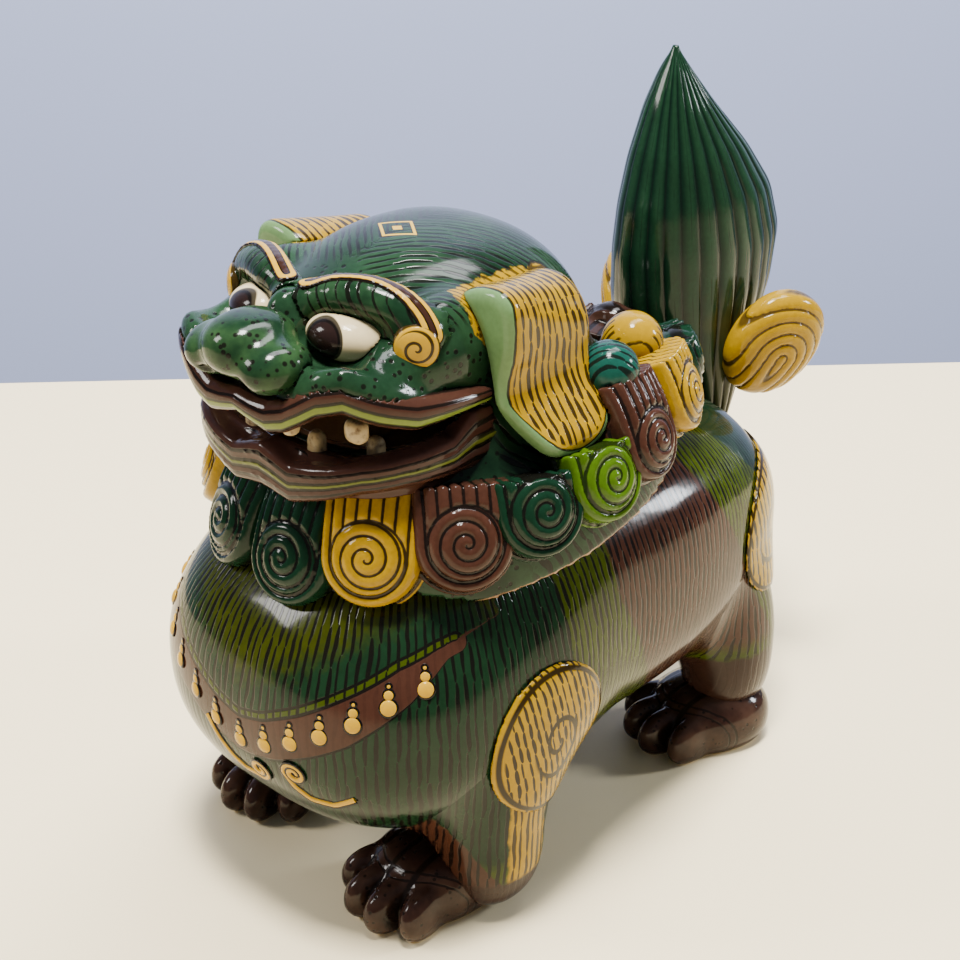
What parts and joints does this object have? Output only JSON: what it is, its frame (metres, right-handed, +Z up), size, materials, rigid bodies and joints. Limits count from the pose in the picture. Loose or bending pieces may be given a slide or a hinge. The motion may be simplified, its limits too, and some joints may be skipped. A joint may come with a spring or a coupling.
{
  "type": "lidded guardian lion figure",
  "caption": "Glazed porcelain guardian lion incense burner: a hollow belly pot on legs with an upright tail, closed by a lift-off head lid.",
  "frame": {"origin": "on the floor under the middle of the whole figure", "axes": "+Z up, the lion faces -Y, its left side is +X"},
  "size_m": [0.1238, 0.2138, 0.2],
  "materials": {
    "green_glaze": "dark green overglaze enamel with fine black brush strokes, high gloss",
    "olive_glaze": "olive green overglaze enamel with fine black brush strokes, high gloss",
    "aubergine_glaze": "aubergine brown overglaze enamel, high gloss",
    "yellow_glaze": "warm yellow overglaze enamel with black line work, high gloss",
    "brown_glaze": "dark brown overglaze enamel with black specks, high gloss",
    "cream_glaze": "thin clear glaze over cream porcelain",
    "bare_porcelain": "unglazed fired porcelain, matt"
  },
  "bodies": {
    "pot": {"belly_pot": "green_glaze", "tail_plume": "green_glaze", "front_paw_left": "brown_glaze", "front_leg_left": "green_glaze", "rear_paw_left": "brown_glaze", "rear_leg_left": "green_glaze", "shoulder_curl_left": "yellow_glaze", "haunch_curl_left": "yellow_glaze", "tail_curl_left": "yellow_glaze", "front_paw_right": "brown_glaze", "front_leg_right": "green_glaze", "rear_paw_right": "brown_glaze", "rear_leg_right": "green_glaze", "shoulder_curl_right": "yellow_glaze", "haunch_curl_right": "yellow_glaze", "tail_curl_right": "yellow_glaze"},
    "lid": {"lid_shell": "green_glaze", "lid_flange": "bare_porcelain", "nose": "green_glaze", "upper_lip": "aubergine_glaze", "lower_jaw": "aubergine_glaze", "eye_left": "cream_glaze", "brow_left": "green_glaze", "upper_canine_left": "cream_glaze", "upper_side_tooth_left": "cream_glaze", "lower_fang_left": "cream_glaze", "lower_side_fang_left": "cream_glaze", "ear_left": "yellow_glaze", "eye_right": "cream_glaze", "brow_right": "green_glaze", "upper_canine_right": "cream_glaze", "upper_side_tooth_right": "cream_glaze", "lower_fang_right": "cream_glaze", "lower_side_fang_right": "cream_glaze", "ear_right": "yellow_glaze", "mane_curl_front": "green_glaze", "mane_curl_1_left": "yellow_glaze", "mane_curl_1_right": "green_glaze", "mane_curl_2_left": "aubergine_glaze", "mane_curl_2_right": "yellow_glaze", "mane_curl_3_left": "green_glaze", "mane_curl_3_right": "green_glaze", "mane_curl_4_left": "olive_glaze", "mane_curl_4_right": "olive_glaze", "mane_curl_5_left": "aubergine_glaze", "mane_curl_5_right": "aubergine_glaze", "mane_curl_6_left": "yellow_glaze", "mane_curl_6_right": "yellow_glaze", "mane_curl_7_left": "green_glaze", "mane_curl_7_right": "green_glaze", "mane_curl_back": "brown_glaze"}
  },
  "joints": [
    {"name": "lid_lift", "type": "slide", "parent": "pot", "child": "lid", "axis": [0, 0, 1], "range_m": [0, 0.13]}
  ]
}
